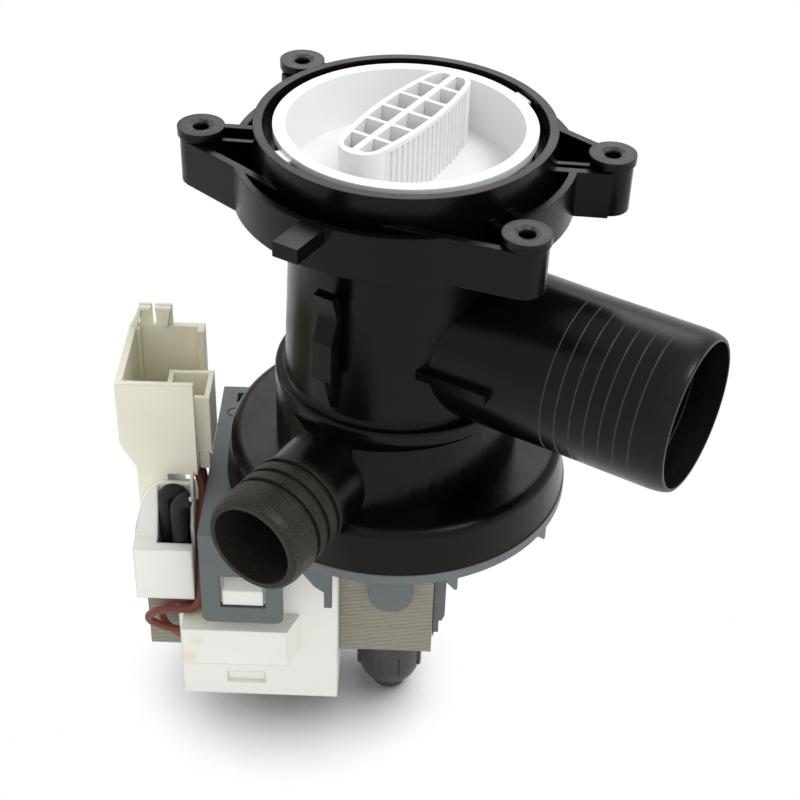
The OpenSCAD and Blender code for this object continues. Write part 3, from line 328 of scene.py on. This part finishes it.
def inner_corners(tree, place, soft):
    """Normals that round only the pipe ends and the hook, so that the pieces meet without a seam."""
    x, y, z = axes(tree, place)
    flat = tree.nodes.new("ShaderNodeCombineXYZ")
    tree.links.new(x, flat.inputs["X"])
    tree.links.new(y, flat.inputs["Y"])
    ends = span(tree, vector_maths(tree, "LENGTH", flat.outputs["Vector"]), *PIPES_CLEAR, 0, 1)
    out = span(tree, y, *HOOK_OUT, 1, 0)
    above = span(tree, z, *HOOK_FOOT, 0, 1)
    share = maths(tree, "MAXIMUM", ends, maths(tree, "MULTIPLY", out, above))
    own = tree.nodes.new("ShaderNodeNewGeometry")
    mix = tree.nodes.new("ShaderNodeMix")
    mix.data_type = "VECTOR"
    tree.links.new(share, mix.inputs["Factor"])
    vectors = [s for s in mix.inputs if s.type == "VECTOR" and s.enabled]
    tree.links.new(own.outputs["Normal"], vectors[-2])
    tree.links.new(soft, vectors[-1])
    return [s for s in mix.outputs if s.type == "VECTOR" and s.enabled][0]


# Stained white plastic
STAIN_COLOUR = (0.8, 0.72, 0.38)
STAIN_SCALE = 90
STAIN_DETAIL = 4
STAIN_FROM = 0.8
STAIN_TO = 1.5
STAINED_PATCH = 0.97
STAINED_GLOSS = 0.05
STAINED_GRAIN = 0.1


def stained_white(name, colour, roughness, spots, edge):
    """White plastic with yellow stains round points of the motor frame."""
    material, tree, bsdf, place = shader(name)
    wander = noise(tree, place, STAIN_SCALE, STAIN_DETAIL)
    total = None
    for u, v, z, reach, depth in spots:
        gap = vector_maths(tree, "DISTANCE", place, motor_point(u, v, z))
        far = maths(tree, "ADD", gap, maths(tree, "MULTIPLY", wander, reach * MM))
        share = span(tree, far, STAIN_FROM * reach * MM, STAIN_TO * reach * MM, depth, 0)
        total = share if total is None else maths(tree, "MAXIMUM", total, share)
    base = blend(tree, uneven(tree, place, PATCH_SCALE), shade(colour, STAINED_PATCH), colour)
    tree.links.new(blend(tree, total, base, STAIN_COLOUR), bsdf.inputs["Base Color"])
    gloss = span(tree, wander, *NOISE_RANGE, roughness - STAINED_GLOSS, roughness + STAINED_GLOSS)
    tree.links.new(gloss, bsdf.inputs["Roughness"])
    grains = noise(tree, place, GRAIN_SCALE, GRAIN_DETAIL)
    normal = bump(tree, grains, STAINED_GRAIN, GRAIN_HEIGHT, rounded(tree, edge))
    tree.links.new(normal, bsdf.inputs["Normal"])
    return material


# Stacked iron sheets
SHEET_PITCH = 0.54 * MM
SHEET_WAVE = 0.06 * MM
SHEET_WAVE_SCALE = 120
SHEET_MIDDLE = 0.5
SHEET_GAP = (0.2, 0.42)
SHEET_GAP_SHADE = 0.25
SHEET_DARK = 0.92
SHEET_LIGHT = 1.08
SHEET_METAL = 0.3
SHEET_GLOSS = (0.42, 0.6)
SHEET_GLOSS_SCALE = 600
SHEET_BUMP = 0.4
SHEET_DEPTH = 0.2 * MM
SHEET_EDGE = 0.5
RUST_COLOUR = (0.2, 0.12, 0.06)
RUST_SCALE = 160
RUST_DETAIL = 5
RUST_RANGE = (0.6, 0.8)
RUST_SHARE = 0.2


def laminated(name, colour):
    """Stacked iron sheets: each has its own tone, with a dark line between it and the next."""
    material, tree, bsdf, place = shader(name)
    wave = maths(tree, "MULTIPLY", noise(tree, place, SHEET_WAVE_SCALE), SHEET_WAVE)
    level = maths(tree, "DIVIDE", maths(tree, "ADD", axes(tree, place)["Z"], wave), SHEET_PITCH)
    off = maths(tree, "ABSOLUTE", maths(tree, "SUBTRACT", maths(tree, "FRACT", level), SHEET_MIDDLE))
    line = span(tree, off, *SHEET_GAP, 0, 1)
    tones = tree.nodes.new("ShaderNodeTexWhiteNoise")
    tones.noise_dimensions = "1D"
    tree.links.new(maths(tree, "FLOOR", level), tones.inputs["W"])
    base = blend(tree, tones.outputs["Value"], shade(colour, SHEET_DARK), shade(colour, SHEET_LIGHT))
    rust = span(tree, noise(tree, place, RUST_SCALE, RUST_DETAIL), *RUST_RANGE, 0, RUST_SHARE)
    base = blend(tree, rust, base, RUST_COLOUR)
    base = blend(tree, line, base, shade(colour, SHEET_GAP_SHADE))
    tree.links.new(base, bsdf.inputs["Base Color"])
    bsdf.inputs["Metallic"].default_value = SHEET_METAL
    tree.links.new(uneven(tree, place, SHEET_GLOSS_SCALE, *SHEET_GLOSS), bsdf.inputs["Roughness"])
    height = maths(tree, "SUBTRACT", 1.0, line)
    normal = bump(tree, height, SHEET_BUMP, SHEET_DEPTH, rounded(tree, SHEET_EDGE))
    tree.links.new(normal, bsdf.inputs["Normal"])
    return material


# Bare metal and wound wire
METAL_SCALE = 300
METAL_DETAIL = 4
METAL_DARK = 0.85
METAL_GLOSS_SCALE = 900
METAL_GLOSS_LESS = 0.06
METAL_GLOSS_MORE = 0.08
WIRE_PITCH = 0.45 * MM
WIRE_DARK = 0.4
WIRE_METAL = 0.8
WIRE_ROUGH = 0.35
WIRE_BUMP = 0.5
WIRE_DEPTH = 0.2 * MM


def metal(name, colour, roughness):
    """Bare metal with fine uneven polish."""
    material, tree, bsdf, place = shader(name)
    tone = uneven(tree, place, METAL_SCALE, detail=METAL_DETAIL)
    tree.links.new(blend(tree, tone, shade(colour, METAL_DARK), colour), bsdf.inputs["Base Color"])
    bsdf.inputs["Metallic"].default_value = 1
    limits = (roughness - METAL_GLOSS_LESS, roughness + METAL_GLOSS_MORE)
    tree.links.new(uneven(tree, place, METAL_GLOSS_SCALE, *limits), bsdf.inputs["Roughness"])
    return material


def wound(name, colour):
    """Enamelled wire, as fine turns across the leg that it is wound on."""
    material, tree, bsdf, place = shader(name)
    along = vector_maths(tree, "DOT_PRODUCT", place, (math.cos(MOTOR_TURN), math.sin(MOTOR_TURN), 0))
    turns = maths(tree, "SINE", maths(tree, "MULTIPLY", along, 2 * math.pi / WIRE_PITCH))
    tone = span(tree, turns, -1, 1, 0, 1)
    tree.links.new(blend(tree, tone, shade(colour, WIRE_DARK), colour), bsdf.inputs["Base Color"])
    bsdf.inputs["Metallic"].default_value = WIRE_METAL
    bsdf.inputs["Roughness"].default_value = WIRE_ROUGH
    tree.links.new(bump(tree, tone, WIRE_BUMP, WIRE_DEPTH), bsdf.inputs["Normal"])
    return material


# The finishes of the part
BLACK = (0.0026, 0.0022, 0.0016)
WARM_GLOSS = (1, 0.96, 0.9)
BLACK_FINISH = {
    "colour": BLACK,
    "roughness": 0.25,
    "grain": 0.2,
    "patchy": 0.2,
    "specular": 0.178,
    "edge": 0.35,
    "tint": WARM_GLOSS,
    "wear_and_sheen": housing_wear_and_painted_sheen,
}
# Colour, roughness, grain, patchiness, specular level and edge radius in millimetres
PLAIN_FINISHES = {
    "white_plastic": ((0.825, 0.836, 0.834), 0.4, 0.06, 0.02, 0.4, 0.3),
    "ivory_plastic": ((0.93, 0.9, 0.745), 0.45, 0.08, 0.04, 0.4, 0.4),
    "grey_plastic": ((0.13, 0.15, 0.15), 0.4, 0.15, 0.08, 0.4, 0.5),
    "dark_plastic": ((0.045, 0.048, 0.052), 0.38, 0.15, 0.1, 0.35, 0.4),
    "black_rubber": ((0.016, 0.015, 0.013), 0.6, 0.3, 0.2, 0.25, 0.2),
    "brown_rubber": ((0.19, 0.058, 0.04), 0.45, 0.1, 0.12, 0.35, 0.2),
    "carbon": ((0.03, 0.03, 0.032), 0.5, 0.3, 0.1, 0.5, 0.3),
    "ferrite": ((0.045, 0.045, 0.05), 0.45, 0.3, 0.15, 0.5, 0.3),
}
IRON = (0.42, 0.4, 0.315)
ENAMEL = (0.55, 0.2, 0.08)
BRASS = (0.75, 0.55, 0.22)
BRASS_ROUGH = 0.3
STEEL = (0.6, 0.6, 0.62)
STEEL_ROUGH = 0.25
COVER_COLOUR = (0.92, 0.92, 0.86)
COVER_ROUGH = 0.42
COVER_EDGE = 0.9
HOLDER_COLOUR = (0.95, 0.95, 0.895)
HOLDER_ROUGH = 0.45
HOLDER_EDGE = 1.0
# Points of the motor frame in millimetres, with the reach and the depth of each stain
COVER_STAINS = [
    (-50, -24, -131, 7, 0.75),
    (-54, -33, -143, 3, 0.55),
    (-52, -33, -137, 2, 0.45),
    (-54, -26, -152, 2, 0.45),
    (-30, -33, -140, 2, 0.12),
]
HOLDER_STAINS = [(-66, -26, -126, 2, 0.1)]
MATERIALS = {name: moulded(name, *finish) for name, finish in PLAIN_FINISHES.items()}
MATERIALS["black_plastic"] = moulded("black_plastic", **BLACK_FINISH)
MATERIALS["laminations"] = laminated("laminations", IRON)
MATERIALS["copper"] = wound("copper", ENAMEL)
MATERIALS["brass"] = metal("brass", BRASS, BRASS_ROUGH)
MATERIALS["steel"] = metal("steel", STEEL, STEEL_ROUGH)
JOINED_BLACK = moulded("joined_black", sharp=inner_corners, **BLACK_FINISH)
OWN_MATERIALS = {
    "filter_barrel": JOINED_BLACK,
    "volute_drum": JOINED_BLACK,
    "inlet_pipe": JOINED_BLACK,
    "outlet_pipe": JOINED_BLACK,
    "bobbin_cover": stained_white("cover_white", COVER_COLOUR, COVER_ROUGH, COVER_STAINS, COVER_EDGE),
    "lead_holder": stained_white("holder_white", HOLDER_COLOUR, HOLDER_ROUGH, HOLDER_STAINS, HOLDER_EDGE),
}


def dress_nodes():
    """Gives each node of the model its own material, or that of its slot."""
    slots = {s["node"]: s["material_slot"] for s in frame["record"]["subparts"]}
    for name, node in frame["nodes"].items():
        node.data.materials.clear()
        node.data.materials.append(OWN_MATERIALS.get(name, MATERIALS[slots[name]]))


# Leads, along the same points as in the model, in the motor frame in millimetres
BLACK_D = 4
BROWN_D = 2.2
INSIDE_D = 1.4
LEAD_ROUNDNESS = 5
LEAD_STEPS = 8
LEAD_LOW = -122.4
HAIRPIN = (-58.15, -17.25)
HAIRPIN_HALF = 2.25
HAIRPIN_Z = -99.4
HAIRPIN_DROPS = (HAIRPIN_Z - LEAD_LOW, 8, 3, 1.2)
HAIRPIN_STEPS = 8


def hairpin_path():
    """Up one leg, round the bend and down the other leg."""
    u, v = HAIRPIN
    legs = [[(u + side * HAIRPIN_HALF, v, HAIRPIN_Z - drop) for drop in HAIRPIN_DROPS] for side in (-1, 1)]
    bend = []
    for i in range(HAIRPIN_STEPS + 1):
        angle = math.pi * (1 - i / HAIRPIN_STEPS)
        bend.append((u + HAIRPIN_HALF * math.cos(angle), v, HAIRPIN_Z + HAIRPIN_HALF * math.sin(angle)))
    return legs[0] + bend + legs[1][::-1]


BLACK_PATHS = [
    hairpin_path(),
    [(-56.6, -21.3, LEAD_LOW), (-56.6, -21.3, -112), (-56.6, -21.3, -104), (-56.6, -21.3, -100.6),
     (-56.2, -21.3, -98.4), (-55, -21.2, -97), (-53.4, -21.1, -96.6)],
]
INSIDE_PATHS = [[(-53.9, -21.12, -96.7), (-53.3, -21.1, -96.58), (-52.7, -21.08, -96.5)]]
BROWN_PATHS = [
    [(-54.6, -8, -93.8), (-51.6, -11, -99.4), (-51.5, -17, -108), (-51.5, -22, -118), (-51.5, -24.4, -125),
     (-51.7, -25.6, -128), (-53, -26.4, -130.2), (-56.6, -26.8, -131), (-61.4, -26.2, -132),
     (-65.2, -25.4, -134.4), (-66, -24.8, -137), (-64, -24.4, -139.2), (-60.6, -24.4, -140.6),
     (-56.8, -24.4, -141.6)],
    [(-54.6, -4.4, -93.8), (-51.6, -6.6, -99.4), (-51.5, -13.4, -110), (-51.5, -18.6, -120),
     (-51.5, -21, -126), (-51.6, -21.8, -128.3), (-53, -22.8, -130.4), (-56.4, -23.2, -131),
     (-60, -22.6, -132.6), (-62.8, -21.6, -136.8), (-62.6, -21.4, -140.8), (-60.4, -21.6, -143.8),
     (-56.8, -22, -146)],
]


def make_leads(name, paths, diameter, slot, node=None):
    """Round leads along their points, in place of a node of the model if one is named."""
    data = bpy.data.curves.new(name, "CURVE")
    data.dimensions = "3D"
    data.bevel_depth = diameter / 2 * MM
    data.bevel_resolution = LEAD_ROUNDNESS
    data.resolution_u = LEAD_STEPS
    data.use_fill_caps = True
    for path in paths:
        spline = data.splines.new("BEZIER")
        spline.bezier_points.add(len(path) - 1)
        for point, place in zip(spline.bezier_points, path):
            point.co = motor_point(*place)
            point.handle_left_type = "AUTO"
            point.handle_right_type = "AUTO"
    leads = bpy.data.objects.new(name, data)
    data.materials.append(MATERIALS[slot])
    scene.collection.objects.link(leads)
    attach(leads, "pump_body")
    if node:
        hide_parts(node)


# Stage and light
FLOOR_SIZE = 40
FLOOR_COLOUR = (0.95, 0.95, 0.95)
FLOOR_ROUGH = 0.9
SHADOW_REACH = 50 * MM
SHADOW_RANGE = (0.3, 0.74)
SHADOW_DEPTH = 0.12
SHADOW_SAMPLES = 32
WORLD_LEVEL = 0.8
LIT_POINT = Vector((0, 0, -0.08))
# Place, size in metres and power in watts
LAMPS = {
    "top": ((0.6, 0.15, 0.95), (0.4, 0.4), 6),
    "left": ((-1.0, -0.15, 0.1), (0.3, 0.8), 1.2),
    "back": ((-0.35, 0.85, 0.6), (0.7, 0.5), 2.5),
}


def floor_material():
    """Pale, and white to the camera and in reflections, with a soft shadow where the part covers it."""
    material, tree, bsdf, _ = shader("floor")
    bsdf.inputs["Base Color"].default_value = (*FLOOR_COLOUR, 1)
    bsdf.inputs["Roughness"].default_value = FLOOR_ROUGH
    rays = tree.nodes.new("ShaderNodeLightPath")
    seen = rays.outputs["Is Camera Ray"]
    for kind in ("Is Glossy Ray", "Is Transmission Ray"):
        seen = maths(tree, "MAXIMUM", seen, rays.outputs[kind])
    cover = tree.nodes.new("ShaderNodeAmbientOcclusion")
    cover.samples = SHADOW_SAMPLES
    cover.inputs["Distance"].default_value = SHADOW_REACH
    white = tree.nodes.new("ShaderNodeEmission")
    level = span(tree, cover.outputs["AO"], *SHADOW_RANGE, SHADOW_DEPTH, 1)
    tree.links.new(level, white.inputs["Strength"])
    mix = tree.nodes.new("ShaderNodeMixShader")
    tree.links.new(seen, mix.inputs["Fac"])
    tree.links.new(bsdf.outputs["BSDF"], mix.inputs[1])
    tree.links.new(white.outputs["Emission"], mix.inputs[2])
    tree.links.new(mix.outputs["Shader"], tree.nodes["Material Output"].inputs["Surface"])
    return material


def make_stage():
    """The floor, level with the lowest point of the part."""
    z = cad_box[0].z
    half = FLOOR_SIZE / 2
    mesh = bpy.data.meshes.new("floor")
    corners = [(-half, -half, z), (half, -half, z), (half, half, z), (-half, half, z)]
    mesh.from_pydata(corners, [], [(0, 1, 2, 3)])
    mesh.materials.append(floor_material())
    floor = bpy.data.objects.new("floor", mesh)
    scene.collection.objects.link(floor)


def make_light():
    """An even pale world and soft lamps that all face the part."""
    world = bpy.data.worlds.new("world")
    world.use_nodes = True
    scene.world = world
    sky = world.node_tree.nodes["Background"]
    sky.inputs["Color"].default_value = (*WHITE, 1)
    sky.inputs["Strength"].default_value = WORLD_LEVEL
    for name, (place, size, power) in LAMPS.items():
        data = bpy.data.lights.new(name, "AREA")
        data.shape = "RECTANGLE"
        data.size, data.size_y = size
        data.energy = power
        lamp = bpy.data.objects.new(name, data)
        lamp.location = place
        lamp.rotation_euler = (LIT_POINT - Vector(place)).to_track_quat("-Z", "Y").to_euler()
        scene.collection.objects.link(lamp)


make_camera()
make_leads("black_lead_pair", BLACK_PATHS, BLACK_D, "black_rubber", "black_leads")
make_leads("black_lead_core", INSIDE_PATHS, INSIDE_D, "ivory_plastic")
make_leads("brown_lead_pair", BROWN_PATHS, BROWN_D, "brown_rubber", "brown_leads")
dress_nodes()
make_stage()
make_light()
